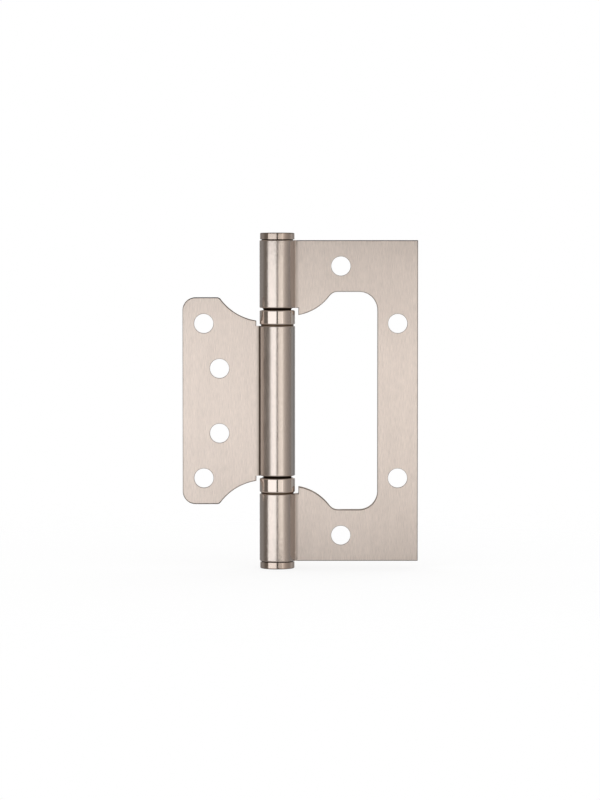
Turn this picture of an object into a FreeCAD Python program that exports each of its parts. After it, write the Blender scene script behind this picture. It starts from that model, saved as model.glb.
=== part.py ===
import FreeCAD, Part
import math
import os

import Sketcher

# A flush hinge: the small leaf nests inside a window in the large leaf when the hinge closes.
# The pin stands along +Z through the origin, the large leaf lies towards +X and the small leaf
# towards -X, as the hinge lies when it is opened flat. The faces that meet the wood look along -Y.

# Driving sizes, in millimetres unless the name says otherwise.
SIZES = {
    "sheet_thickness": "2.5",
    "edge_round": "0.3",
    # leaves: a reach is measured from the pin's axis
    "large_leaf_height": "100",
    "stile_width": "12.6",
    "small_leaf_height": "64.5",
    "small_leaf_reach": "29.5",
    "small_leaf_corner": "4.0",
    "nest_gap": "1.7",
    "shoulder_radius": "17",
    "shoulder_reach": "4",
    "shoulder_rise": "9.55",
    "shoulder_corner": "1.5",
    "shoulder_step": "1.65",
    "open_angle": "180",
    # rolled knuckles
    "pin_diameter": "6",
    "pin_clearance": "0.05",
    "bend_radius": "1.3",
    "bend_relief": "0.2",
    "seam_gap": "0.5",
    # screw holes
    "screw_hole_diameter": "6",
    "countersink_diameter": "9.2",
    "countersink_angle": "90",
    "hole_round": "0.15",
    "small_end_inset": "8.15",
    "small_edge_inset": "6.6",
    "small_inner_screw_spacing": "20.2",
    "small_inner_screw_reach": "18",
    "large_inner_screw_reach": "19.8",
    # caps and pin
    "cap_diameter": "10.8",
    "cap_height": "2.3",
    "cap_round": "0.3",
    "cap_relief_height": "0.25",
    "cap_relief_depth": "0.45",
    "spigot_length": "5",
    "spigot_clearance": "0.02",
    "pin_chamfer": "0.4",
    # ball bearings
    "bearing_height": "5.6",
    "ring_height": "4.45",
    "ring_wall": "0.65",
    "ring_round": "0.35",
    "flange_height": "0.45",
    "flange_diameter": "10.2",
    "neck_diameter": "9.3",
    "neck_foot_diameter": "8",
    "neck_depth": "0.4",
    "race_seat_clearance": "0.03",
    "race_running_clearance": "0.1",
    "ball_count": "10",
    "ball_clearance": "0.02",
    "groove_depth": "0.15",
    "cage_clearance": "0.1",
    "cage_end_clearance": "0.12",
    "cage_web": "0.2",
    "pocket_clearance": "0.05",
}

# How close a point lies to the place where it is looked for.
SNAP = 1e-4

# Sizes that follow from the driving ones.
DERIVED = {
    "bore_radius": "Sizes.pin_diameter / 2 + Sizes.pin_clearance",
    "barrel_radius": "bore_radius + Sizes.sheet_thickness",
    # the sheet leaves the roll through a reverse bend, whose centre stands in front of the leaf
    "bend_centre_y": "Sizes.sheet_thickness / 2 + Sizes.bend_radius",
    "bend_centre_x": "sqrt((barrel_radius + Sizes.bend_radius)^2 - bend_centre_y^2)",
    "outer_bend_radius": "Sizes.bend_radius + Sizes.sheet_thickness",
    "bend_angle": "atan(bend_centre_y / bend_centre_x)",
    "seam_angle": "acos((barrel_radius^2 + (barrel_radius + Sizes.bend_radius)^2"
                  " - (outer_bend_radius + Sizes.seam_gap)^2)"
                  " / (2 * barrel_radius * (barrel_radius + Sizes.bend_radius))) - bend_angle",
    "notch_reach": "bend_centre_x + Sizes.bend_relief",
    # the window is the small leaf's outline, wider by the nesting gap all round
    "window_reach": "Sizes.small_leaf_reach + Sizes.nest_gap",
    "window_half": "Sizes.small_leaf_height / 2 + Sizes.nest_gap",
    "tongue_radius": "Sizes.shoulder_radius - Sizes.nest_gap",
    "shoulder_centre_z": "Sizes.small_leaf_height / 2 + Sizes.shoulder_rise",
    "shoulder_tip": "shoulder_centre_z"
                    " - sqrt(Sizes.shoulder_radius^2 - (notch_reach - Sizes.shoulder_reach)^2)",
    "shoulder_root": "Sizes.shoulder_reach + sqrt(Sizes.shoulder_radius^2 - Sizes.shoulder_rise^2)",
    # the middle knuckle ends just short of the small leaf's shoulders
    "knuckle_half": "shoulder_tip - Sizes.shoulder_step",
    "slot_half": "knuckle_half + Sizes.bearing_height",
    "tongue_tip": "shoulder_centre_z"
                  " - sqrt(tongue_radius^2 - (notch_reach - Sizes.shoulder_reach)^2)",
    "tongue_root": "Sizes.shoulder_reach"
                   " + sqrt(tongue_radius^2 - (Sizes.shoulder_rise - Sizes.nest_gap)^2)",
    # the stile's screws stand level with the small leaf's outer ones
    "outer_screw_height": "Sizes.small_leaf_height / 2 - Sizes.small_end_inset",
    "bar_middle": "(Sizes.large_leaf_height / 2 + window_half) / 2",
    # a countersink leaves enough of its hole for the round at the other rim
    "widest_countersink": "Sizes.screw_hole_diameter + 2 * (Sizes.sheet_thickness"
                          " - 2 * Sizes.hole_round) * tan(Sizes.countersink_angle / 2 * 1 deg)",
    "countersink_diameter": "min(Sizes.countersink_diameter; widest_countersink)",
    "large_leaf_reach": "window_reach + Sizes.stile_width",
    "stile_middle": "window_reach + Sizes.stile_width / 2",
    # bearings
    "ring_bore_radius": "barrel_radius - Sizes.ring_wall",
    # the balls are as large as the room round the pin and the cage's webs let them be
    "ball_radius": "(ring_bore_radius - Sizes.pin_diameter / 2) / 2"
                   " - Sizes.cage_clearance - Sizes.cage_web - Sizes.pocket_clearance",
    "groove_radius": "ball_radius + Sizes.ball_clearance",
    "race_spacing": "2 * groove_radius - 2 * Sizes.groove_depth",
    "race_height": "(Sizes.bearing_height - race_spacing) / 2",
    "cage_height": "race_spacing - 2 * Sizes.cage_end_clearance",
    "groove_half": "sqrt(groove_radius^2 - (race_spacing / 2)^2)",
    "pitch_radius": "(Sizes.pin_diameter / 2 + ring_bore_radius) / 2",
}


def fill_sheet(doc, name, cells, lead=""):
    """Write a sheet with one named cell for each size."""
    sheet = doc.addObject("Spreadsheet::Sheet", name)
    for row, (alias, content) in enumerate(cells.items(), start=1):
        sheet.set(f"A{row}", alias)
        sheet.set(f"B{row}", lead + content)
        sheet.setAlias(f"B{row}", alias)
    doc.recompute()
    return sheet


def value(doc, expression):
    """The number that an expression on the sheets gives."""
    return float(doc.getObject("Sizes").evalExpression(expression))


def new_body(doc, label):
    body = doc.addObject("PartDesign::Body", label)
    body.Label = label
    return body


def new_sketch(body, name, plane):
    """A sketch on one of the body's own origin planes."""
    sketch = body.newObject("Sketcher::SketchObject", name)
    support = next(item for item in body.Origin.OriginFeatures if item.Role == plane)
    sketch.AttachmentSupport = (support, "")
    sketch.MapMode = "FlatFace"
    return sketch


def tie(sketch, kind, place, expression):
    """Add one dimension to a sketch and bind it to the sheets."""
    size = value(sketch.Document, expression)
    number = sketch.addConstraint(Sketcher.Constraint(kind, *place, size))
    sketch.setExpression(f"Constraints[{number}]", expression)


def draw_outline(sketch, corners, arc_centres):
    """Draw a closed outline through corners given as pairs of expressions.

    arc_centres maps the number of a corner to the centre of the arc that runs from it to the
    next corner, with the way round: 1 anticlockwise or -1 clockwise. Other edges are straight.
    """
    doc = sketch.Document
    spots = [FreeCAD.Vector(value(doc, x), value(doc, y), 0) for x, y in corners]
    edges = []
    for number, spot in enumerate(spots):
        following = spots[(number + 1) % len(spots)]
        if number not in arc_centres:
            edges.append((sketch.addGeometry(Part.LineSegment(spot, following)), 1, 2))
            continue
        x, y, way = arc_centres[number]
        centre = FreeCAD.Vector(value(doc, x), value(doc, y), 0)
        first, last = (spot, following) if way == 1 else (following, spot)
        angles = [math.atan2(end.y - centre.y, end.x - centre.x) for end in (first, last)]
        circle = Part.Circle(centre, FreeCAD.Vector(0, 0, 1), centre.distanceToPoint(spot))
        arc = sketch.addGeometry(Part.ArcOfCircle(circle, *angles))
        edges.append((arc, 1, 2) if way == 1 else (arc, 2, 1))
    for (edge, _, end), (following, start, _) in zip(edges, edges[1:] + edges[:1]):
        sketch.addConstraint(Sketcher.Constraint("Coincident", edge, end, following, start))
    for (edge, start, _), (x, y) in zip(edges, corners):
        tie(sketch, "DistanceX", (edge, start), x)
        tie(sketch, "DistanceY", (edge, start), y)
    for number, (x, y, _) in arc_centres.items():
        from_x, from_y = corners[number]
        tie(sketch, "Radius", edges[number][:1],
            f"sqrt(({from_x} - ({x}))^2 + ({from_y} - ({y}))^2)")


def draw_circle(sketch, x, y, radius):
    doc = sketch.Document
    centre = FreeCAD.Vector(value(doc, x), value(doc, y), 0)
    circle = sketch.addGeometry(
        Part.Circle(centre, FreeCAD.Vector(0, 0, 1), value(doc, radius)))
    tie(sketch, "DistanceX", (circle, 3), x)
    tie(sketch, "DistanceY", (circle, 3), y)
    tie(sketch, "Radius", (circle,), radius)


def pad(body, name, sketch, length):
    """Add a sketch's area to the body, half the length to each side of the sketch's plane."""
    feature = body.newObject("PartDesign::Pad", name)
    feature.Profile = sketch
    feature.SideType = "Symmetric"
    feature.setExpression("Length", length)


def cut_through(body, name, sketch):
    """Cut a sketch right through the body, to both sides of its plane."""
    body.Document.recompute()
    before = body.Shape.Volume
    pocket = body.newObject("PartDesign::Pocket", name)
    pocket.Profile = sketch
    pocket.SideType = "Symmetric"
    pocket.Type = "ThroughAll"
    body.Document.recompute()
    if body.Shape.Volume >= before:
        raise RuntimeError(f"{name} cut nothing")
    return pocket


def mirror_up_down(body, name, feature):
    """Repeat a feature on the other side of the body's XY plane."""
    mirrored = body.newObject("PartDesign::Mirrored", name)
    mirrored.Originals = [feature]
    plane = next(item for item in body.Origin.OriginFeatures if item.Role == "XY_Plane")
    mirrored.MirrorPlane = (plane, [""])
    body.Tip = mirrored


def round_edges(body, name, radius, wanted):
    """Fillet the edges of the body that the test wanted picks."""
    body.Document.recompute()
    base = body.Tip
    names = [f"Edge{number}" for number, edge in enumerate(base.Shape.Edges, start=1)
             if wanted(edge)]
    if not names:
        raise RuntimeError(f"{name} found no edges")
    fillet = body.newObject("PartDesign::Fillet", name)
    fillet.Base = (base, names)
    fillet.setExpression("Radius", radius)


def corner_at(reach, height):
    """A test for edges that run through the sheet at this reach, above and below."""
    def wanted(edge):
        box = edge.BoundBox
        return (box.ZLength < SNAP and abs(abs(box.ZMin) - height) < SNAP
                and box.XLength < SNAP and abs(box.XMin - reach) < SNAP)
    return wanted


def worn_edge(doc, side):
    """A test for the edges to round: a face's outline, the knuckles' ends and the seam.

    side tells which face of the sheet: 1 for the one along +Y, -1 for the one along -Y.
    """
    face = side * value(doc, "Sizes.sheet_thickness") / 2
    bend = value(doc, "Derived.bend_centre_x")
    notch = value(doc, "Derived.notch_reach")
    barrel = value(doc, "Derived.barrel_radius")
    seam_x = value(doc, "Derived.barrel_radius * cos(Derived.seam_angle)")
    seam_y = value(doc, "Derived.barrel_radius * sin(Derived.seam_angle)")

    def wanted(edge):
        box = edge.BoundBox
        on_face = abs(box.YMin - face) < SNAP and abs(box.YMax - face) < SNAP
        outline = on_face and (box.XMin > bend + SNAP or box.XMax > notch + SNAP)
        knuckle_end = (box.ZLength < SNAP and isinstance(edge.Curve, Part.Circle)
                       and abs(edge.Curve.Radius - barrel) < SNAP)
        seam = (box.XLength < SNAP and box.YLength < SNAP
                and abs(box.XMin - seam_x) < SNAP and abs(box.YMin - seam_y) < SNAP)
        return outline or knuckle_end or seam
    return wanted


def hole_rim(doc, side):
    """A test for the rims of the screw holes in one face, picked by side as in worn_edge."""
    face = side * value(doc, "Sizes.sheet_thickness") / 2
    radius = value(doc, "Sizes.screw_hole_diameter / 2")

    def wanted(edge):
        box = edge.BoundBox
        return (edge.isClosed() and box.YLength < SNAP and abs(box.YMin - face) < SNAP
                and abs(box.XLength / 2 - radius) < SNAP)
    return wanted


def turned(doc, label, corners, arc_centres=None):
    """A turned piece: an outline of radius and height, revolved about the piece's Z axis."""
    body = new_body(doc, label)
    section = new_sketch(body, "section", "XZ_Plane")
    draw_outline(section, corners, arc_centres or {})
    revolution = body.newObject("PartDesign::Revolution", "turning")
    revolution.Profile = section
    revolution.ReferenceAxis = (section, ["V_Axis"])
    revolution.Angle = 360
    return body


def rolled_sheet(body, reach, height):
    """The leaf's sheet, with its edge bent back and rolled round the pin over its full height."""
    section = new_sketch(body, "rolled_section", "XY_Plane")
    half = "Sizes.sheet_thickness / 2"
    draw_outline(section, [
        ("Derived.barrel_radius * cos(Derived.bend_angle)",
         "-Derived.barrel_radius * sin(Derived.bend_angle)"),
        ("Derived.barrel_radius * cos(Derived.seam_angle)",
         "Derived.barrel_radius * sin(Derived.seam_angle)"),
        ("Derived.bore_radius * cos(Derived.seam_angle)",
         "Derived.bore_radius * sin(Derived.seam_angle)"),
        ("Derived.bore_radius * cos(Derived.bend_angle)",
         "-Derived.bore_radius * sin(Derived.bend_angle)"),
        ("Derived.bend_centre_x", half),
        (reach, half),
        (reach, f"-{half}"),
        ("Derived.bend_centre_x", f"-{half}"),
    ], {
        0: ("0", "0", -1),
        2: ("0", "0", 1),
        3: ("Derived.bend_centre_x", "-Derived.bend_centre_y", -1),
        7: ("Derived.bend_centre_x", "-Derived.bend_centre_y", 1),
    })
    pad(body, "sheet", section, height)


def screw_holes(body, name, side, places):
    """Countersunk holes above and below the middle, sunk from the sheet's face on one side.

    side is 1 for the face that looks along +Y and -1 for the one that looks along -Y.
    """
    body.Document.recompute()
    before = body.Shape.Volume
    centres = new_sketch(body, f"{name}_centres", "XZ_Plane")
    centres.setExpression("AttachmentOffset.Base.z", f"{-side} * Sizes.sheet_thickness / 2")
    for reach, height in places:
        draw_circle(centres, reach, height, "Sizes.screw_hole_diameter / 2")
        draw_circle(centres, reach, f"-({height})", "Sizes.screw_hole_diameter / 2")
    body.Document.recompute()
    holes = body.newObject("PartDesign::Hole", name)
    holes.Profile = centres
    holes.Reversed = side == 1
    holes.DepthType = "ThroughAll"
    holes.DrillPoint = "Flat"
    holes.HoleCutType = "Countersink"
    holes.setExpression("Diameter", "Sizes.screw_hole_diameter")
    holes.setExpression("HoleCutDiameter", "Derived.countersink_diameter")
    holes.setExpression("HoleCutCountersinkAngle", "Sizes.countersink_angle * 1 deg")
    body.Document.recompute()
    if body.Shape.Volume >= before:
        raise RuntimeError(f"{name} cut nothing")


def large_leaf(doc):
    """The leaf that is screwed to the frame, with the window and the two end knuckles."""
    body = new_body(doc, "large_leaf")
    rolled_sheet(body, "Derived.large_leaf_reach", "Sizes.large_leaf_height")
    window = new_sketch(body, "window_outline", "XZ_Plane")
    clear_of_barrel = "-2 * Derived.barrel_radius"
    upper = [
        (clear_of_barrel, "Derived.slot_half"),
        ("Derived.notch_reach", "Derived.slot_half"),
        ("Derived.notch_reach", "Derived.tongue_tip"),
        ("Derived.tongue_root", "Derived.window_half"),
        ("Derived.window_reach", "Derived.window_half"),
    ]
    lower = [(x, f"-({z})") for x, z in reversed(upper)]
    draw_outline(window, upper + lower, {
        2: ("Sizes.shoulder_reach", "Derived.shoulder_centre_z", 1),
        6: ("Sizes.shoulder_reach", "-Derived.shoulder_centre_z", 1),
    })
    cut_through(body, "window", window)
    half = value(doc, "Derived.window_half")
    round_edges(body, "window_corners", "Sizes.small_leaf_corner + Sizes.nest_gap",
                corner_at(value(doc, "Derived.window_reach"), half))
    round_edges(body, "tongue_corners", "Sizes.shoulder_corner + Sizes.nest_gap",
                corner_at(value(doc, "Derived.tongue_root"), half))
    round_edges(body, "large_leaf_edges", "Sizes.edge_round", worn_edge(doc, -1))
    screw_holes(body, "large_leaf_holes", 1, [
        ("Derived.stile_middle", "Derived.outer_screw_height"),
        ("Sizes.large_inner_screw_reach", "Derived.bar_middle"),
    ])
    round_edges(body, "large_hole_rims", "Sizes.hole_round", hole_rim(doc, -1))
    return body


def small_leaf(doc):
    """The leaf that is screwed to the door: drawn nested, then turned open about the pin."""
    body = new_body(doc, "small_leaf")
    rolled_sheet(body, "Sizes.small_leaf_reach", "Sizes.small_leaf_height")
    trim = new_sketch(body, "shoulder_outline", "XZ_Plane")
    clear_of_barrel = "-2 * Derived.barrel_radius"
    clear_of_leaf = "Sizes.small_leaf_height"
    draw_outline(trim, [
        (clear_of_barrel, "Derived.knuckle_half"),
        ("Derived.notch_reach", "Derived.knuckle_half"),
        ("Derived.notch_reach", "Derived.shoulder_tip"),
        ("Derived.shoulder_root", "Sizes.small_leaf_height / 2"),
        ("Derived.shoulder_root", clear_of_leaf),
        (clear_of_barrel, clear_of_leaf),
    ], {
        2: ("Sizes.shoulder_reach", "Derived.shoulder_centre_z", 1),
    })
    mirror_up_down(body, "lower_shoulder", cut_through(body, "upper_shoulder", trim))
    half = value(doc, "Sizes.small_leaf_height / 2")
    round_edges(body, "leaf_corners", "Sizes.small_leaf_corner",
                corner_at(value(doc, "Sizes.small_leaf_reach"), half))
    round_edges(body, "shoulder_corners", "Sizes.shoulder_corner",
                corner_at(value(doc, "Derived.shoulder_root"), half))
    round_edges(body, "small_leaf_edges", "Sizes.edge_round", worn_edge(doc, 1))
    screw_holes(body, "small_leaf_holes", -1, [
        ("Sizes.small_leaf_reach - Sizes.small_edge_inset", "Derived.outer_screw_height"),
        ("Sizes.small_inner_screw_reach", "Sizes.small_inner_screw_spacing / 2"),
    ])
    round_edges(body, "small_hole_rims", "Sizes.hole_round", hole_rim(doc, 1))
    body.Placement.Rotation = FreeCAD.Rotation(FreeCAD.Vector(0, 0, 1), 180)
    body.setExpression("Placement.Rotation.Angle", "Sizes.open_angle * 1 deg")
    return body


def hinge_pin(doc):
    """The plain pin, which ends against the caps' spigots."""
    half = "(Sizes.large_leaf_height / 2 - Sizes.spigot_length)"
    radius = "Sizes.pin_diameter / 2"
    return turned(doc, "hinge_pin", [
        ("0", f"-{half}"),
        (f"{radius} - Sizes.pin_chamfer", f"-{half}"),
        (radius, f"-{half} + Sizes.pin_chamfer"),
        (radius, f"{half} - Sizes.pin_chamfer"),
        (f"{radius} - Sizes.pin_chamfer", half),
        ("0", half),
    ])


def cap(doc, label, side):
    """A flat button cap, relieved under its head and pressed into a knuckle by its spigot."""
    radius = "Sizes.cap_diameter / 2"
    seat = f"{radius} - Sizes.cap_relief_depth"
    spigot = "Derived.bore_radius - Sizes.spigot_clearance"
    body = turned(doc, label, [
        ("0", "-Sizes.spigot_length"),
        (spigot, "-Sizes.spigot_length"),
        (spigot, "0"),
        (seat, "0"),
        (seat, "Sizes.cap_relief_height"),
        (radius, "Sizes.cap_relief_height"),
        (radius, "Sizes.cap_height - Sizes.cap_round"),
        (f"{radius} - Sizes.cap_round", "Sizes.cap_height"),
        ("0", "Sizes.cap_height"),
    ], {6: (f"{radius} - Sizes.cap_round", "Sizes.cap_height - Sizes.cap_round", 1)})
    body.Placement.Rotation = FreeCAD.Rotation(FreeCAD.Vector(1, 0, 0), 90 - 90 * side)
    body.setExpression("Placement.Base.z", f"{side} * Sizes.large_leaf_height / 2")
    return body


def ring(doc, label):
    """The bright ring that closes a bearing; it stands on the flange of the seat race."""
    bottom = "Sizes.flange_height"
    top = "(Sizes.flange_height + Sizes.ring_height)"
    rim = "Derived.barrel_radius - Sizes.ring_round"
    return turned(doc, label, [
        ("Derived.ring_bore_radius", bottom),
        (rim, bottom),
        ("Derived.barrel_radius", f"{bottom} + Sizes.ring_round"),
        ("Derived.barrel_radius", f"{top} - Sizes.ring_round"),
        (rim, top),
        ("Derived.ring_bore_radius", top),
    ], {
        1: (rim, f"{bottom} + Sizes.ring_round", 1),
        3: (rim, f"{top} - Sizes.ring_round", 1),
    })


def seat_race(doc, label):
    """The lower race: its flange carries the ring, its top face has the groove for the balls."""
    outer = "Derived.ring_bore_radius - Sizes.race_seat_clearance"
    ball_centre = "Derived.race_height + Derived.race_spacing / 2"
    return turned(doc, label, [
        ("Derived.bore_radius", "0"),
        ("Sizes.flange_diameter / 2", "0"),
        ("Sizes.flange_diameter / 2", "Sizes.flange_height"),
        (outer, "Sizes.flange_height"),
        (outer, "Derived.race_height"),
        ("Derived.pitch_radius + Derived.groove_half", "Derived.race_height"),
        ("Derived.pitch_radius - Derived.groove_half", "Derived.race_height"),
        ("Derived.bore_radius", "Derived.race_height"),
    ], {5: ("Derived.pitch_radius", ball_centre, -1)})


def running_race(doc, label):
    """The upper race: it turns inside the ring, and its neck widens up to the next knuckle."""
    outer = "Derived.ring_bore_radius - Sizes.race_running_clearance"
    bottom = "Derived.race_height + Derived.race_spacing"
    shoulder = "Sizes.flange_height + Sizes.ring_height - Sizes.neck_depth"
    ball_centre = "Derived.race_height + Derived.race_spacing / 2"
    return turned(doc, label, [
        ("Derived.bore_radius", bottom),
        ("Derived.pitch_radius - Derived.groove_half", bottom),
        ("Derived.pitch_radius + Derived.groove_half", bottom),
        (outer, bottom),
        (outer, shoulder),
        ("Sizes.neck_foot_diameter / 2", shoulder),
        ("Sizes.neck_diameter / 2", "Sizes.bearing_height"),
        ("Derived.bore_radius", "Sizes.bearing_height"),
    ], {1: ("Derived.pitch_radius", ball_centre, -1)})


def ball_cage(doc, label):
    """The flat cage that spaces the balls, with one pocket for each."""
    body = new_body(doc, label)
    blank = new_sketch(body, "blank_outline", "XY_Plane")
    draw_circle(blank, "0", "0", "Derived.ring_bore_radius - Sizes.cage_clearance")
    draw_circle(blank, "0", "0", "Sizes.pin_diameter / 2 + Sizes.cage_clearance")
    pad(body, "blank", blank, "Derived.cage_height")
    pocket_outline = new_sketch(body, "pocket_outline", "XY_Plane")
    draw_circle(pocket_outline, "Derived.pitch_radius", "0",
                "Derived.ball_radius + Sizes.pocket_clearance")
    pocket = cut_through(body, "ball_pocket", pocket_outline)
    pockets = body.newObject("PartDesign::PolarPattern", "ball_pockets")
    pockets.Originals = [pocket]
    pockets.Axis = (pocket_outline, ["N_Axis"])
    pockets.Angle = 360
    pockets.setExpression("Occurrences", "Sizes.ball_count")
    body.Tip = pockets
    return body


def ball(doc, label, turn):
    """One ball on the pitch circle, at a share of a full turn from +X."""
    sphere = doc.addObject("Part::Sphere", label)
    sphere.Label = label
    sphere.setExpression("Radius", "Derived.ball_radius")
    sphere.setExpression("Placement.Base.x", f"Derived.pitch_radius * cos({turn} * 360 deg)")
    sphere.setExpression("Placement.Base.y", f"Derived.pitch_radius * sin({turn} * 360 deg)")
    return sphere


def bearing(doc, side, foot):
    """The pieces of one thrust ball bearing that stands on a knuckle's end at height foot."""
    middle = f"{foot} + Sizes.bearing_height / 2"
    standing = [
        ring(doc, f"{side}_bearing_ring"),
        seat_race(doc, f"{side}_seat_race"),
        running_race(doc, f"{side}_running_race"),
    ]
    rolling = [ball_cage(doc, f"{side}_ball_cage")]
    count = int(value(doc, "Sizes.ball_count"))
    for number in range(count):
        rolling.append(ball(doc, f"{side}_ball_{number + 1:02d}", f"({number} / {count})"))
    for piece in standing:
        piece.setExpression("Placement.Base.z", foot)
    for piece in rolling:
        piece.setExpression("Placement.Base.z", middle)
    return standing + rolling


def check(doc, pieces):
    """Stop if anything in the document failed, or a piece is not one sound solid."""
    faults = [item.Label for item in doc.Objects
              if "Invalid" in item.State or "Error" in item.State]
    for piece in pieces:
        shape = piece.Shape
        if shape.isNull() or not shape.isValid() or len(shape.Solids) != 1:
            faults.append(piece.Label)
    if faults:
        raise RuntimeError("These failed: " + ", ".join(faults))


def main():
    doc = FreeCAD.newDocument("FlushHinge")
    fill_sheet(doc, "Sizes", SIZES)
    fill_sheet(doc, "Derived", DERIVED, "=")
    pieces = [
        large_leaf(doc),
        small_leaf(doc),
        hinge_pin(doc),
        cap(doc, "top_cap", 1),
        cap(doc, "bottom_cap", -1),
    ]
    pieces += bearing(doc, "upper", "Derived.knuckle_half")
    pieces += bearing(doc, "lower", "-Derived.slot_half")
    doc.recompute()
    check(doc, pieces)
    os.makedirs("parts", exist_ok=True)
    for piece in pieces:
        piece.Shape.exportStep(f"parts/{piece.Label}.step")
        print(f"{piece.Label}: {piece.Shape.Volume:.2f} cubic millimetres")


main()
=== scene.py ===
"""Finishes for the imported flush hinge, and the small studio that it is pictured in.

Lengths are metres in the hinge's own frame: +Z runs along the pin, the large leaf lies towards +X
and the picture is taken from the -Y side, where the leaves show their flat faces.
"""

import math
from functools import cached_property
from typing import NamedTuple

import bpy
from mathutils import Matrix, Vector


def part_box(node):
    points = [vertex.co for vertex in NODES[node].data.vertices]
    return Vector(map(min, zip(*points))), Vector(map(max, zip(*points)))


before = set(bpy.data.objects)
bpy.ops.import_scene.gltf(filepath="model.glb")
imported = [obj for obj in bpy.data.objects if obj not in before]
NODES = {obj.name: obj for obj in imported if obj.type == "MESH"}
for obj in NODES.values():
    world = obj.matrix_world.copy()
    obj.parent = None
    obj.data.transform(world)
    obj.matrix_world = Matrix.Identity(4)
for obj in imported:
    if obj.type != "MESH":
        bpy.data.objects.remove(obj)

bl_info = {
    "name": "Flush hinge",
    "version": (1, 0, 0),
    "blender": (4, 5, 0),
    "location": "View3D > Sidebar > Hinge",
    "description": "Finishes a ball bearing flush hinge and sets up its studio",
    "category": "Object",
}

MM = 0.001

# The picture's width and height in pixels.
PICTURE = (600, 800)

LEAVES = ("large_leaf", "small_leaf")
CAPS = ("top_cap", "bottom_cap")
RINGS = ("upper_bearing_ring", "lower_bearing_ring")
SIDES = ("upper", "lower")

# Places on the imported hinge: the radius of the barrel and of a cap's head, how far the large
# leaf's knuckles, the small leaf and its knuckle reach from the hinge's middle, and the floor.
BARREL_RADIUS = -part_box("large_leaf")[0].y
CAP_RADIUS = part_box("top_cap")[1].x
KNUCKLE_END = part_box("large_leaf")[1].z
SMALL_LEAF_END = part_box("small_leaf")[1].z
MIDDLE_KNUCKLE_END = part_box("upper_seat_race")[0].z
FLOOR_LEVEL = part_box("bottom_cap")[0].z

# Places that no box gives: the leaves' shown faces, the distance from the pin at which the bend
# beside a knuckle ends, the angle of a countersink, and how squarely its cone faces the wood.
LEAF_FACE = -1.25 * MM
BEND_END = 6.36 * MM
COUNTERSINK = math.radians(90.0)
CONE_FACING = math.sin(COUNTERSINK / 2)

# The floor: a disc of paper that fades out between two distances from the pin. The camera sees it
# as a share of plain white, and for the rest as the paper under the lamps.
FLOOR_SIDES = 96
FLOOR_RADIUS = 0.30
FLOOR_FADE = (0.25 * FLOOR_RADIUS, 0.98 * FLOOR_RADIUS)
FLOOR_PAPER = (0.97, 0.97, 0.97, 1.0)
FLOOR_WHITE_SHARE = 0.8

# The softboxes: their distance from the pin, and the bearings between which the pin sees each,
# counted from the camera's side towards the right.
BOX_DISTANCE = 0.6
LEFT_BEARINGS = (math.radians(-62.0), math.radians(-5.0))
RIGHT_BEARINGS = (math.radians(4.9), math.radians(34.8))

# What the metal mirrors of the room, level with the hinge: the light at each bearing, from behind
# the hinge (0) by its left side to the camera (0.5), and on by its right side to behind it again.
ROOM = (
    (0.000, (1.00, 1.00, 1.00)),
    (0.040, (1.00, 1.00, 1.00)),
    (0.064, (0.36, 0.36, 0.36)),
    (0.110, (0.26, 0.26, 0.26)),
    (0.180, (0.33, 0.33, 0.33)),
    (0.222, (0.26, 0.25, 0.24)),
    (0.256, (0.17, 0.155, 0.14)),
    (0.305, (0.17, 0.155, 0.14)),
    (0.325, (0.26, 0.25, 0.24)),
    (0.345, (0.08, 0.08, 0.08)),
    (0.486, (0.08, 0.08, 0.08)),
    (0.500, (0.14, 0.13, 0.12)),
    (0.514, (0.00, 0.00, 0.00)),
    (0.586, (0.05, 0.05, 0.05)),
    (0.599, (0.96, 0.92, 0.88)),
    (0.623, (0.72, 0.68, 0.64)),
    (0.646, (0.53, 0.49, 0.46)),
    (0.690, (0.39, 0.36, 0.34)),
    (0.745, (0.33, 0.31, 0.30)),
    (0.778, (0.40, 0.39, 0.38)),
    (0.811, (0.50, 0.50, 0.50)),
    (0.856, (0.33, 0.33, 0.33)),
    (0.936, (0.36, 0.36, 0.36)),
    (0.960, (1.00, 1.00, 1.00)),
)

# What the metal mirrors above and below that: how steep a way starts to show it, how steep a way
# shows nothing else, where 1 is straight up or down, and its light.
CEILING = (0.20, 0.45, (0.40, 0.35, 0.31, 1.0))
ZENITH = (0.75, 0.95, (0.16, 0.15, 0.14, 1.0))
TABLE = (0.22, 0.45, (0.46, 0.42, 0.39, 1.0))
PAPER = (0.75, 0.95, (0.85, 0.85, 0.85, 1.0))

# Colours that no setting changes.
WHITE = (1.0, 1.0, 1.0, 1.0)
# Painted shade, laid in the seams' gaps and in the groove between each cap's head and its knuckle.
GAP_SHADE = (0.085, 0.055, 0.036, 1.0)
GREASE = (0.16, 0.11, 0.06, 1.0)
# Painted shade for the knuckles' flanks over the bends, standing in for the dark bend that they
# mirror.
SHADED_FLANK = (0.43, 0.41, 0.395, 1.0)

# The rings' share of the nickel's colour, and the balls' share of the steel's.
RING_SHADE = 0.79
BALL_SHADE = 1.5

# Depths of the marks that each way of working the surface leaves.
POLISH_DEPTH = 0.0006 * MM
GRINDING_DEPTH = 0.0015 * MM
NYLON_SKIN_DEPTH = 0.006 * MM

# What is the same all over a surface, as inputs of its shader.
METAL = {"Metallic": 1.0}
BRUSHED_METAL = {"Metallic": 1.0, "Anisotropic": 0.8}
PLASTIC = {"Metallic": 0.0}

# What the settings of one kind have in common.
COLOUR = {"subtype": "COLOR", "size": 4, "min": 0.0, "max": 1.0}
LIGHT = {"subtype": "COLOR", "size": 3, "min": 0.0, "max": 4.0}
ROUGHNESS = {"subtype": "FACTOR", "min": 0.02, "max": 1.0}
PIXELS = {"subtype": "PIXEL", "min": 0.0}
LENGTH = {"subtype": "DISTANCE", "unit": "LENGTH"}
FINE_LENGTH = {"precision": 6, **LENGTH}
HEIGHT = {"min": -2.0, "max": 2.0, **LENGTH}


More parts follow.
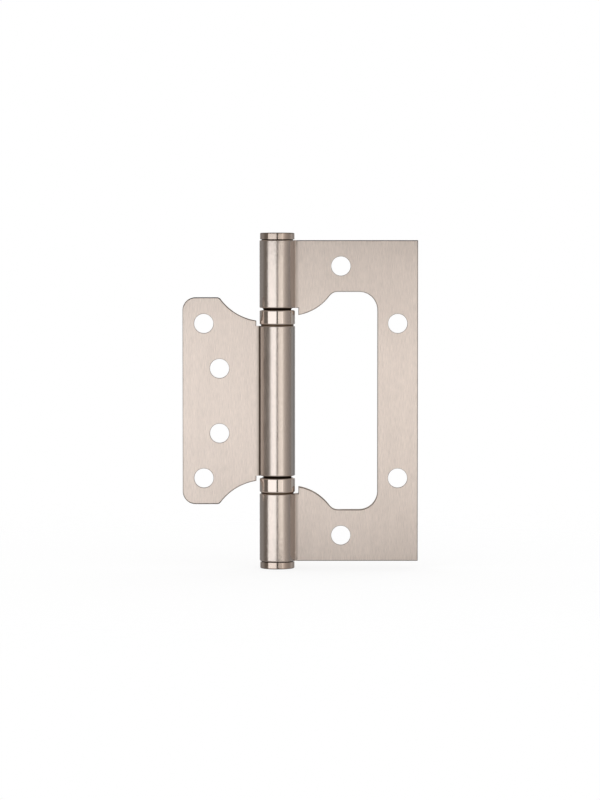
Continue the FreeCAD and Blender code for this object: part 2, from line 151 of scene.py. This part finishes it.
class Grain(NamedTuple):
    """A noise whose marks have these lengths along X, Y and Z, in the unit that its use gives."""

    lengths: tuple
    detail: float = 2.0
    roughness: float = 0.5


# Grains of the brushing, in brush pitches.
BRUSH_LINES = Grain((1, 1, 18), detail=3.0, roughness=0.65)
STREAKS = Grain((4, 4, 22), detail=4.0, roughness=0.7)
LONG_LINES = Grain((9, 9, 200))

# Grains in millimetres.
LEAF_CLOUD = Grain((14, 14, 22))
ROLLING_DENTS = Grain((0.45, 0.45, 1.0), detail=3.0, roughness=0.6)
SHEAR_LINES = Grain((0.16, 3, 0.16))
LATHE_RINGS = Grain((40, 40, 0.09))
HANDLING_MARKS = Grain((0.5, 0.5, 0.7), detail=3.0, roughness=0.6)
POLISH_CLOUD = Grain((5, 5, 5))
PIN_RINGS = Grain((30, 30, 0.2))
RACE_RINGS = Grain((30, 30, 0.12))
BALL_RINGS = Grain((30, 30, 0.5))
GREASE_PATCHES = Grain((1.6, 1.6, 1.6), detail=3.0)
NYLON_MOTTLE = Grain((1.2, 1.2, 1.2), detail=3.0)
NYLON_SKIN = Grain((0.08, 0.08, 0.08))


class Signal:
    """One output in a node tree. Arithmetic on signals adds the Math nodes that work it out."""

    def __init__(self, sheet, socket):
        self.sheet = sheet
        self.socket = socket

    def out(self, name):
        """Another output of the node that this signal comes from."""
        return Signal(self.sheet, self.socket.node.outputs[name])

    def swing(self, reach):
        """A grain, which goes from 0 to 1, made to swing about 0 by reach from end to end."""
        return (self - 0.5) * reach

    def __add__(self, other):
        return self.sheet.math("ADD", self, other)

    def __sub__(self, other):
        return self.sheet.math("SUBTRACT", self, other)

    def __rsub__(self, other):
        return self.sheet.math("SUBTRACT", other, self)

    def __mul__(self, other):
        return self.sheet.math("MULTIPLY", self, other)

    def __neg__(self):
        return 0 - self

    def __abs__(self):
        return self.sheet.math("ABSOLUTE", self)

    __radd__ = __add__
    __rmul__ = __mul__


class Sheet:
    """The node tree of one material or world."""

    def __init__(self, owner):
        owner.use_nodes = True
        self.owner = owner
        self.tree = owner.node_tree
        self.tree.nodes.clear()

    def node(self, kind, settings=None, inputs=None, output=0):
        """Adds a node: first its settings, then its inputs' values or links, by name or place."""
        node = self.tree.nodes.new(kind)
        for name, setting in (settings or {}).items():
            if name == "stops":
                self.set_stops(node.color_ramp, setting)
            else:
                setattr(node, name, setting)
        for name, value in (inputs or {}).items():
            if isinstance(value, Signal):
                self.tree.links.new(value.socket, node.inputs[name])
            else:
                node.inputs[name].default_value = value
        return Signal(self, node.outputs[output]) if len(node.outputs) else None

    @staticmethod
    def set_stops(ramp, stops):
        """Gives a colour ramp its stops, each a position and a colour."""
        while len(ramp.elements) < len(stops):
            ramp.elements.new(1.0)
        for element, (position, colour) in zip(ramp.elements, stops):
            element.position = position
            element.color = (*colour, 1.0)

    def math(self, operation, *values):
        """A Math node on one or two values."""
        return self.node("ShaderNodeMath", {"operation": operation}, dict(enumerate(values)))

    def rise(self, value, low, high):
        """0 where value is under low, 1 where it is over high, and a smooth step between."""
        return self.node(
            "ShaderNodeMapRange",
            {"interpolation_type": "SMOOTHSTEP"},
            {"Value": value, "From Min": low, "From Max": high},
        )

    def fall(self, value, low, high):
        """1 where value is under low, 0 where it is over high, and a smooth step between."""
        return 1 - self.rise(value, low, high)

    def band(self, value, first, last):
        """A rise over the first range and a fall over the last, with 1 between the two."""
        return self.rise(value, *first) * self.fall(value, *last)

    def mix(self, factor, first, second):
        """The first colour where factor is 0, the second where it is 1."""
        return self.node(
            "ShaderNodeMix",
            {"data_type": "RGBA"},
            {"Factor": factor, 6: first, 7: second},
            output=2,
        )

    def toned(self, tone, colour, dark, light):
        """A colour's dark share where tone is 0, and its light share where tone is 1."""
        return self.mix(tone, shade(colour, dark), shade(colour, light))

    def coated(self, colour, coats):
        """A colour under coats, each with its place, how much it covers there, and its colour."""
        for where, cover, tint in coats:
            colour = self.mix(where * cover, colour, tint)
        return colour

    def place(self):
        """The point on the piece, in metres in the hinge's frame."""
        return self.node("ShaderNodeTexCoord", output="Object")

    def facing(self, axis):
        """How squarely the surface faces along an axis, either way, from 0 to 1."""
        normal = self.node("ShaderNodeTexCoord", output="Normal")
        return abs(self.node("ShaderNodeSeparateXYZ", inputs={"Vector": normal}, output=axis))

    def parts_of(self, vector):
        """The three numbers of a vector."""
        split = self.node("ShaderNodeSeparateXYZ", inputs={"Vector": vector})
        return split, split.out("Y"), split.out("Z")

    def from_pin(self, along, across):
        """The distance from the pin's axis."""
        flat = self.node("ShaderNodeCombineXYZ", inputs={"X": along, "Y": across})
        return self.node(
            "ShaderNodeVectorMath", {"operation": "LENGTH"}, {0: flat}, output="Value"
        )

    def grain(self, place, grain, unit=MM):
        """A grain's noise, from 0 to 1, with its lengths in a unit."""
        scaled = self.node(
            "ShaderNodeMapping",
            {"vector_type": "POINT"},
            {"Vector": place, "Scale": [1 / (length * unit) for length in grain.lengths]},
        )
        breakup = {"Detail": grain.detail, "Roughness": grain.roughness}
        return self.node(
            "ShaderNodeTexNoise",
            {"noise_dimensions": "3D"},
            {"Vector": scaled, "Scale": 1.0, **breakup},
        )

    def close(self, colour, roughness, height, depth, constants):
        """Ends a material with its colour, its roughness and a height that dents it by depth."""
        bump = self.node(
            "ShaderNodeBump", inputs={"Height": height, "Strength": 1.0, "Distance": depth}
        )
        surface = {"Base Color": colour, "Roughness": roughness, "Normal": bump}
        shader = self.node("ShaderNodeBsdfPrincipled", inputs={**surface, **constants})
        self.node("ShaderNodeOutputMaterial", inputs={"Surface": shader})
        return self.owner


class LeafPlaces:
    """Where on a leaf a point lies: each mask is 1 on its kind of place and 0 away from it."""

    def __init__(self, sheet, place):
        self.sheet = sheet
        self.along, self.across, self.up = sheet.parts_of(place)
        self.radius = sheet.from_pin(self.along, self.across)
        self.faces_wood = sheet.facing("Y")

    def near_barrel(self, whole, none):
        """1 up to the distance whole outside the barrel, and 0 beyond the distance none."""
        return self.sheet.fall(self.radius, BARREL_RADIUS + whole, BARREL_RADIUS + none)

    @cached_property
    def right(self):
        """The large leaf's side of the pin."""
        return self.sheet.rise(self.along, -0.1 * MM, 0.1 * MM)

    @cached_property
    def rolled(self):
        """The rolled knuckles."""
        return self.near_barrel(0.05 * MM, 0.4 * MM)

    @cached_property
    def bent(self):
        """The knuckles and the start of the bends beside them."""
        return self.near_barrel(0.05 * MM, 0.9 * MM)

    @cached_property
    def flat(self):
        """The brushed faces."""
        return self.sheet.rise(self.faces_wood, 0.55, 0.97)

    @cached_property
    def sheared(self):
        """The edges that the press sheared."""
        return (1 - self.flat) * (1 - self.bent)

    @cached_property
    def rim(self):
        """The rounded rims of the faces, but not the countersinks."""
        slope = self.sheet.band(self.faces_wood, (0.03, 0.2), (0.97, 0.999))
        cone = self.sheet.fall(abs(self.faces_wood - CONE_FACING), 0.005, 0.02)
        return slope * (1 - self.bent) * (1 - cone)

    @cached_property
    def large_end(self):
        """The large leaf's upper and lower edges."""
        return self.sheet.rise(abs(self.up), KNUCKLE_END - 3 * MM, KNUCKLE_END - 1 * MM)

    @cached_property
    def small_end(self):
        """The small leaf's upper and lower edges."""
        end = self.sheet.rise(abs(self.up), SMALL_LEAF_END - 1 * MM, SMALL_LEAF_END - 0.3 * MM)
        return end * (1 - self.right)

    @cached_property
    def knuckle_rim(self):
        """The rounded rims of the knuckles' ends."""
        return self.sheet.band(self.sheet.facing("Z"), (0.12, 0.5), (0.8, 0.98)) * self.rolled

    @cached_property
    def middle(self):
        """The height of the small leaf's knuckle, between the large leaf's two."""
        end = MIDDLE_KNUCKLE_END
        return self.sheet.fall(abs(self.up), end + 0.5 * MM, end + 4 * MM)

    @cached_property
    def quadrant(self):
        """In square mm, over 0 in the quarters of a seam and under 0 in the quarters of a bend."""
        return self.along * self.across * (1 / (MM * MM))

    @cached_property
    def seam_side(self):
        """The quarter of a knuckle that holds its seam, on the side of the knuckle's own leaf."""
        own_side = self.middle * (1 - self.right) + (1 - self.middle) * self.right
        return self.sheet.rise(self.quadrant, 0.0, 2.0) * own_side

    @cached_property
    def bend_side(self):
        """The quarters of the barrel that the bends may run into."""
        return self.sheet.rise(-self.quadrant, 1.0, 4.0)

    @cached_property
    def in_seam(self):
        """The slice level with the sheet, on the seam's side."""
        return self.sheet.fall(abs(self.across), 1.5 * MM, 1.9 * MM) * self.seam_side

    @cached_property
    def seam(self):
        """The gap between the end of the roll and the leaf."""
        return self.near_barrel(0.1 * MM, 0.55 * MM) * self.in_seam

    @cached_property
    def beside_seam(self):
        """The gap, and the leaf's face next to it."""
        return self.near_barrel(0.3 * MM, 1.5 * MM) * self.in_seam

    @cached_property
    def on_barrel(self):
        """The outside of the knuckles."""
        return self.near_barrel(0.02 * MM, 0.12 * MM)

    @cached_property
    def flank(self):
        """The sides of the knuckles that stand over their bends, where shade is painted."""
        side = self.sheet.rise(abs(self.along), 3.0 * MM, 4.8 * MM)
        return side * self.bend_side * self.on_barrel

    @cached_property
    def seam_flank(self):
        """The side of the small leaf's knuckle that ends at its seam, where shade is painted."""
        side = self.sheet.rise(abs(self.along), 3.4 * MM, 4.2 * MM)
        return side * self.seam_side * self.on_barrel * self.middle

    @cached_property
    def crease(self):
        """The line where a bend meets the flat sheet."""
        line = self.sheet.fall(abs(abs(self.along) - BEND_END), 0.1 * MM, 0.3 * MM)
        return line * self.bend_side * self.flat

    @cached_property
    def hump(self):
        """Falls to 0 over the end of the small leaf's roll, which is a little out of round."""
        return self.sheet.rise(self.along, -4.2 * MM, -0.4 * MM) * self.middle * self.rolled


def shade(colour, share):
    """A colour made darker or lighter by a share of itself."""
    return (*(channel * share for channel in colour[:3]), 1.0)


def new_finish(name):
    """A new material's sheet, and the place that its patterns are laid out by."""
    sheet = Sheet(bpy.data.materials.new(name))
    return sheet, sheet.place()


def leaf_finish(finish):
    """Satin nickel on stamped sheet: brushed faces, rolled knuckles, sheared and dulled edges, and
    painted shade.
    """
    sheet, place = new_finish("satin_nickel_sheet")
    on = LeafPlaces(sheet, place)
    brush = sheet.grain(place, BRUSH_LINES, unit=finish.brush_pitch)
    streaks = sheet.grain(place, STREAKS, unit=finish.brush_pitch)
    long_lines = sheet.grain(place, LONG_LINES, unit=finish.brush_pitch)
    cloud = sheet.grain(place, LEAF_CLOUD)
    dents = sheet.grain(place, ROLLING_DENTS)
    shear_lines = sheet.grain(place, SHEAR_LINES)

    nickel = finish.nickel
    lines = brush.swing(2.8) + streaks.swing(0.8) + long_lines.swing(0.5)
    tone = 0.5 + lines + cloud.swing(0.8)
    colour = sheet.coated(
        sheet.toned(tone, nickel, dark=0.90, light=1.13),
        (
            # each coat's place, how much of that place it covers, and its colour
            (on.rolled, 0.6 + 0.6 * dents, shade(nickel, 0.72)),
            # painted shade on the knuckles' flanks over the bends and beside the small leaf's seam
            (on.flank, 0.7, SHADED_FLANK),
            (on.seam_flank, 1.0, shade(nickel, 0.5)),
            (on.sheared, 0.35 + 0.3 * shear_lines, finish.cut_edge),
            # painted shade along the crease
            (on.crease, 0.5, shade(nickel, 0.7)),
            # painted shade on the rounded rims, darkest and near black at the leaves' upper and
            # lower ends
            (on.rim, 0.6 + 0.3 * on.large_end, shade(nickel, 0.25)),
            (on.rim, on.small_end, shade(nickel, 0.04)),
            # painted shade on the knuckles' rounded ends
            (on.knuckle_rim, 0.4, shade(nickel, 0.6)),
            # painted shade in the seam's gap and on the face beside it
            (on.beside_seam, 0.3, GAP_SHADE),
            (on.seam, 1.0, GAP_SHADE),
        ),
    )

    slope_of_hump = on.hump * (1 - on.hump)
    roughness = (
        finish.leaf_roughness
        + streaks.swing(0.2)
        + cloud.swing(0.05)
        - on.rolled * (finish.leaf_roughness - finish.knuckle_roughness)
        + slope_of_hump * 0.2
        + on.sheared * 0.08
        + on.seam * 0.2
    )

    # rolling rubs most of the brush lines out of the knuckles, and shearing leaves deeper ones
    brushed = (1 - 0.8 * on.rolled) * (1 - on.sheared)
    shear_depth = 1.5 * finish.brush_depth
    height = (
        brush * brushed * finish.brush_depth
        + dents * on.rolled * finish.peel_depth
        + on.hump * finish.roll_hump
        + shear_lines * on.sheared * shear_depth
    )
    return sheet.close(colour, roughness, height * (1 / MM), MM, BRUSHED_METAL)


def cap_shade_coats(sheet, place, nickel):
    """Painted shade: the dark line round a cap's rim, and the dark groove between its head and the
    knuckle.
    """
    along, across, up = sheet.parts_of(place)
    rim = sheet.band(sheet.facing("Z"), (0.1, 0.5), (0.85, 0.98))
    radius = sheet.from_pin(along, across)
    sunk = sheet.fall(radius, CAP_RADIUS - 0.3 * MM, CAP_RADIUS - 0.05 * MM)
    low = sheet.fall(abs(up), KNUCKLE_END + 0.3 * MM, KNUCKLE_END + 0.45 * MM)
    return [(rim, 0.95, shade(nickel, 0.1)), (sunk * low, 1.0, shade(GAP_SHADE, 0.2))]


def polished_finish(name, finish, nickel, on_cap=False):
    """Polished nickel on turned parts: fine rings left by the lathe, and light handling marks."""
    sheet, place = new_finish(name)
    turning = sheet.grain(place, LATHE_RINGS)
    marks = sheet.grain(place, HANDLING_MARKS)
    cloud = sheet.grain(place, POLISH_CLOUD)
    coats = [(sheet.rise(marks, 0.62, 0.75), 0.4, shade(nickel, 0.85))]
    # a cap also gets painted shade on its rim and in the groove under its head
    if on_cap:
        coats += cap_shade_coats(sheet, place, nickel)
    tone = 0.5 + turning.swing(0.6) + cloud.swing(0.6)
    colour = sheet.coated(sheet.toned(tone, nickel, dark=0.97, light=1.05), coats)
    roughness = finish.polish_roughness + cloud.swing(0.05) + turning.swing(0.04)
    return sheet.close(colour, roughness, turning * 0.5 + marks * 0.5, POLISH_DEPTH, METAL)


def steel_finish(name, colour, roughness, ring_grain):
    """Hard steel of the pin, races and balls: ground rings, and a film of grease in patches."""
    sheet, place = new_finish(name)
    rings = sheet.grain(place, ring_grain)
    film = sheet.rise(sheet.grain(place, GREASE_PATCHES), 0.5, 0.68)
    coats = [(film, 0.35, GREASE)]
    colour = sheet.coated(sheet.toned(rings, colour, dark=0.9, light=1.06), coats)
    roughness = roughness + rings.swing(0.08) + film * 0.1
    return sheet.close(colour, roughness, rings, GRINDING_DEPTH, METAL)


def nylon_finish(finish):
    """Moulded nylon of the ball cages: milky, slightly mottled, with a matt skin."""
    sheet, place = new_finish("cage_nylon_moulded")
    mottle = sheet.grain(place, NYLON_MOTTLE)
    skin = sheet.grain(place, NYLON_SKIN)
    colour = sheet.toned(mottle, finish.nylon, dark=0.88, light=1.05)
    return sheet.close(colour, 0.5 + mottle * 0.15, skin, NYLON_SKIN_DEPTH, PLASTIC)


def dress(names, material):
    """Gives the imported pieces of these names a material, in the slot that each one has."""
    for name in names:
        for slot in NODES[name].material_slots:
            slot.material = material


def added_object():
    """The object that the last bpy.ops call added."""
    return bpy.context.view_layer.objects.active


class HingeFinish(bpy.types.PropertyGroup):
    """Colours and surfaces of the hinge."""

    nickel: bpy.props.FloatVectorProperty(
        name="Nickel",
        description="Colour of the satin and the polished nickel plating",
        default=(0.87, 0.765, 0.695, 1.0),
        **COLOUR,
    )
    cap_nickel: bpy.props.FloatVectorProperty(
        name="Cap nickel",
        description="Colour of the caps' duller plating",
        default=(0.64, 0.535, 0.465, 1.0),
        **COLOUR,
    )
    cut_edge: bpy.props.FloatVectorProperty(
        name="Cut edge",
        description="Colour of the sheared edges, where the plating lies on torn steel",
        default=(0.50, 0.44, 0.39, 1.0),
        **COLOUR,
    )
    steel: bpy.props.FloatVectorProperty(
        name="Steel",
        description="Colour of the ground pin, of which the lapped balls are a brighter shade",
        default=(0.45, 0.42, 0.39, 1.0),
        **COLOUR,
    )
    blackened: bpy.props.FloatVectorProperty(
        name="Blackened steel",
        description="Colour of the hardened and oiled races",
        default=(0.13, 0.09, 0.065, 1.0),
        **COLOUR,
    )
    nylon: bpy.props.FloatVectorProperty(
        name="Nylon",
        description="Colour of the ball cages",
        default=(0.70, 0.66, 0.52, 1.0),
        **COLOUR,
    )
    leaf_roughness: bpy.props.FloatProperty(
        name="Leaf roughness",
        description="Roughness of the brushed leaf faces",
        default=0.37,
        **ROUGHNESS,
    )
    knuckle_roughness: bpy.props.FloatProperty(
        name="Knuckle roughness",
        description="Roughness of the rolled knuckles, rubbed smoother than the faces",
        default=0.17,
        **ROUGHNESS,
    )
    polish_roughness: bpy.props.FloatProperty(
        name="Polish roughness",
        description="Roughness of the caps and the bearing rings",
        default=0.12,
        **ROUGHNESS,
    )
    brush_pitch: bpy.props.FloatProperty(
        name="Brush pitch",
        description="Distance between brush lines",
        default=0.14 * MM,
        min=0.01 * MM,
        max=1 * MM,
        **FINE_LENGTH,
    )
    brush_depth: bpy.props.FloatProperty(
        name="Brush depth",
        description="Depth of the brush lines",
        default=0.004 * MM,
        min=0.0,
        max=0.1 * MM,
        **FINE_LENGTH,
    )
    peel_depth: bpy.props.FloatProperty(
        name="Peel depth",
        description="Depth of the dents that rolling leaves on the knuckles",
        default=0.011 * MM,
        min=0.0,
        max=0.1 * MM,
        **FINE_LENGTH,
    )
    roll_hump: bpy.props.FloatProperty(
        name="Roll hump",
        description="How far the small leaf's roll is out of round",
        default=0.42 * MM,
        min=0.0,
        max=1 * MM,
        **FINE_LENGTH,
    )


class HingeStudio(bpy.types.PropertyGroup):
    """Camera and lamps."""

    camera_distance: bpy.props.FloatProperty(
        name="Camera distance",
        description="From the camera to the leaves' shown faces",
        default=0.9,
        min=0.2,
        max=5.0,
        **LENGTH,
    )
    camera_elevation: bpy.props.FloatProperty(
        name="Camera elevation",
        description="How far the camera looks down on the hinge",
        default=math.radians(2.4),
        min=0.0,
        max=math.radians(80.0),
        subtype="ANGLE",
        unit="ROTATION",
    )
    picture_scale: bpy.props.FloatProperty(
        name="Picture scale",
        description="Pixels to a millimetre at the leaves' shown faces",
        default=3.21,
        min=0.5,
        max=20.0,
    )
    pin_column: bpy.props.FloatProperty(
        name="Pin column",
        description="Column of the picture that the pin's axis stands on",
        default=277.3,
        max=PICTURE[0],
        **PIXELS,
    )
    middle_row: bpy.props.FloatProperty(
        name="Middle row",
        description="Row of the picture that the hinge's middle stands on",
        default=400.9,
        max=PICTURE[1],
        **PIXELS,
    )
    left_box: bpy.props.FloatVectorProperty(
        name="Left softbox",
        description="Light of the left softbox, where 1 shows as white",
        default=(1.39, 1.41, 1.43),
        **LIGHT,
    )
    right_box: bpy.props.FloatVectorProperty(
        name="Right softbox",
        description="Light of the right softbox, where 1 shows as white",
        default=(1.15, 1.11, 1.06),
        **LIGHT,
    )
    left_foot: bpy.props.FloatProperty(
        name="Left softbox foot",
        description="Height of the left softbox's lower edge over the hinge's middle",
        default=-0.131,
        **HEIGHT,
    )
    right_foot: bpy.props.FloatProperty(
        name="Right softbox foot",
        description="Height of the right softbox's lower edge over the hinge's middle",
        default=-0.113,
        **HEIGHT,
    )
    box_top: bpy.props.FloatProperty(
        name="Softbox top",
        description="Height of both softboxes' upper edges over the hinge's middle",
        default=0.068,
        **HEIGHT,
    )


class HINGE_OT_leaves(bpy.types.Operator):
    """Give both leaves their brushed, rolled and sheared nickel surfaces"""

    bl_idname = "hinge.leaves"
    bl_label = "Finish the leaves"

    def execute(self, context):
        dress(LEAVES, leaf_finish(context.scene.hinge_finish))
        return {"FINISHED"}


class HINGE_OT_bright_pieces(bpy.types.Operator):
    """Give the caps and the bearing rings their polished nickel"""

    bl_idname = "hinge.bright_pieces"
    bl_label = "Finish the caps and rings"

    def execute(self, context):
        finish = context.scene.hinge_finish
        ring_nickel = shade(finish.nickel, RING_SHADE)
        dress(RINGS, polished_finish("ring_nickel_polished", finish, ring_nickel))
        dress(CAPS, polished_finish("cap_nickel_polished", finish, finish.cap_nickel, on_cap=True))
        return {"FINISHED"}


class HINGE_OT_bearings(bpy.types.Operator):
    """Give the pin, the races, the balls and the cages their steel and nylon"""

    bl_idname = "hinge.bearings"
    bl_label = "Finish the pin and bearings"

    def execute(self, context):
        finish = context.scene.hinge_finish
        races = [f"{side}_{kind}_race" for side in SIDES for kind in ("seat", "running")]
        balls = [name for name in NODES if "_ball_" in name and not name.endswith("cage")]
        cages = [f"{side}_ball_cage" for side in SIDES]
        for pieces, name, colour, roughness, rings in (
            (["hinge_pin"], "pin_steel_ground", finish.steel, 0.3, PIN_RINGS),
            (races, "race_steel_blackened", finish.blackened, 0.35, RACE_RINGS),
            (balls, "ball_steel_lapped", shade(finish.steel, BALL_SHADE), 0.1, BALL_RINGS),
        ):
            dress(pieces, steel_finish(name, colour, roughness, rings))
        dress(cages, nylon_finish(finish))
        return {"FINISHED"}


class HINGE_OT_studio(bpy.types.Operator):
    """Add the floor, the two softboxes, the pale surround and the camera"""

    bl_idname = "hinge.studio"
    bl_label = "Set up the studio"

    def execute(self, context):
        studio = context.scene.hinge_studio
        self.add_floor()
        for name, light, bearings, foot in (
            ("left_softbox", studio.left_box, LEFT_BEARINGS, studio.left_foot),
            ("right_softbox", studio.right_box, RIGHT_BEARINGS, studio.right_foot),
        ):
            self.add_softbox(name, light, bearings, foot, studio.box_top)
        self.add_surround(context)
        self.add_camera(context, studio)
        context.scene.view_settings.view_transform = "Standard"
        return {"FINISHED"}

    def add_floor(self):
        """A round pale floor under the bottom cap, which fades into the surround."""
        bpy.ops.mesh.primitive_circle_add(
            vertices=FLOOR_SIDES,
            radius=FLOOR_RADIUS,
            fill_type="NGON",
            location=(0, 0, FLOOR_LEVEL),
        )
        floor = added_object()
        floor.name = "floor"
        bpy.ops.object.transform_apply(location=True)
        # metal mirrors the surround's table and paper in its place
        floor.visible_glossy = False
        sheet, place = new_finish("floor_paper")
        along, across, _ = sheet.parts_of(place)
        fade = sheet.rise(sheet.from_pin(along, across), *FLOOR_FADE)
        whitened = sheet.node("ShaderNodeLightPath", output="Is Camera Ray") * FLOOR_WHITE_SHARE
        paper = sheet.node("ShaderNodeBsdfDiffuse", inputs={"Color": FLOOR_PAPER})
        white = sheet.node("ShaderNodeEmission", inputs={"Strength": 1.0})
        shown = sheet.node("ShaderNodeMixShader", inputs={0: whitened, 1: paper, 2: white})
        clear = sheet.node("ShaderNodeBsdfTransparent")
        faded = sheet.node("ShaderNodeMixShader", inputs={0: fade, 1: shown, 2: clear})
        sheet.node("ShaderNodeOutputMaterial", inputs={"Surface": faded})
        floor.data.materials.append(sheet.owner)

    def add_softbox(self, name, light, bearings, foot, top):
        """A flat lamp from one bearing to another, as the pin sees it, and from foot to top."""
        first, second = bearings
        middle, half = (first + second) / 2, (second - first) / 2
        way = Vector((math.sin(middle), -math.cos(middle), 0.0))
        width, height = 2 * BOX_DISTANCE * math.tan(half), top - foot
        bpy.ops.object.light_add(
            type="AREA",
            location=way * BOX_DISTANCE + Vector((0.0, 0.0, (foot + top) / 2)),
            rotation=(math.pi / 2, 0.0, middle),
        )
        lamp = added_object()
        lamp.name = name
        lamp.visible_camera = False
        lamp.data.shape = "RECTANGLE"
        lamp.data.size, lamp.data.size_y = width, height
        # a flat lamp with an energy of pi times its area shows as 1, which is white
        strength = max(light)
        lamp.data.color = [channel / strength for channel in light]
        lamp.data.energy = strength * math.pi * width * height

    def add_surround(self, context):
        """White where it is seen directly; in metal, a dim room with a pale backdrop behind."""
        world = bpy.data.worlds.new("surround")
        context.scene.world = world
        sheet = Sheet(world)
        way = sheet.node("ShaderNodeTexCoord", output="Generated")
        to_right, to_back, to_top = sheet.parts_of(way)
        bearing = sheet.math("ARCTAN2", to_right, -to_back)
        turn = bearing * (0.5 / math.pi) + 0.5
        room = sheet.node("ShaderNodeValToRGB", {"stops": ROOM}, {"Fac": turn})
        for steepness, covers in ((to_top, (CEILING, ZENITH)), (-to_top, (TABLE, PAPER))):
            for start, whole, light in covers:
                room = sheet.mix(sheet.rise(steepness, start, whole), room, light)
        mirrored = sheet.node("ShaderNodeLightPath", output="Is Glossy Ray")
        colour = sheet.mix(mirrored, WHITE, room)
        shown = sheet.node("ShaderNodeBackground", inputs={"Color": colour, "Strength": 1.0})
        sheet.node("ShaderNodeOutputWorld", inputs={"Surface": shown})

    def add_camera(self, context, studio):
        """The camera looks down a little on the hinge, at the photograph's place and scale."""
        scale = studio.picture_scale / MM
        aside = (PICTURE[0] / 2 - studio.pin_column) / scale
        rise = (studio.middle_row - PICTURE[1] / 2) / scale
        tilt = studio.camera_elevation
        back = Vector((0.0, -math.cos(tilt), math.sin(tilt))) * studio.camera_distance
        bpy.ops.object.camera_add(
            location=Vector((aside, LEAF_FACE, rise)) + back,
            rotation=(math.pi / 2 - tilt, 0.0, 0.0),
        )
        camera = added_object()
        camera.name = "camera"
        camera.data.lens = (
            scale * studio.camera_distance * camera.data.sensor_width / max(PICTURE)
        )
        context.scene.camera = camera


class HINGE_PT_panel(bpy.types.Panel):
    """Lists the hinge's sizes, colours and steps"""

    bl_idname = "HINGE_PT_panel"
    bl_label = "Flush hinge"
    bl_space_type = "VIEW_3D"
    bl_region_type = "UI"
    bl_category = "Hinge"

    def draw(self, context):
        for settings in (context.scene.hinge_finish, context.scene.hinge_studio):
            box = self.layout.box()
            for name in settings.__annotations__:
                box.prop(settings, name)
        for step in STEPS:
            self.layout.operator(step.bl_idname)


STEPS = (HINGE_OT_leaves, HINGE_OT_bright_pieces, HINGE_OT_bearings, HINGE_OT_studio)
CLASSES = (HingeFinish, HingeStudio, *STEPS, HINGE_PT_panel)


def register():
    for cls in CLASSES:
        bpy.utils.register_class(cls)
    bpy.types.Scene.hinge_finish = bpy.props.PointerProperty(type=HingeFinish)
    bpy.types.Scene.hinge_studio = bpy.props.PointerProperty(type=HingeStudio)


def unregister():
    del bpy.types.Scene.hinge_finish
    del bpy.types.Scene.hinge_studio
    for cls in reversed(CLASSES):
        bpy.utils.unregister_class(cls)


def main():
    """Registers the classes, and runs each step."""
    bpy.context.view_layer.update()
    register()
    bpy.ops.object.select_all(action="DESELECT")
    bpy.ops.hinge.leaves()
    bpy.ops.hinge.bright_pieces()
    bpy.ops.hinge.bearings()
    bpy.ops.hinge.studio()


if __name__ == "__main__":
    main()
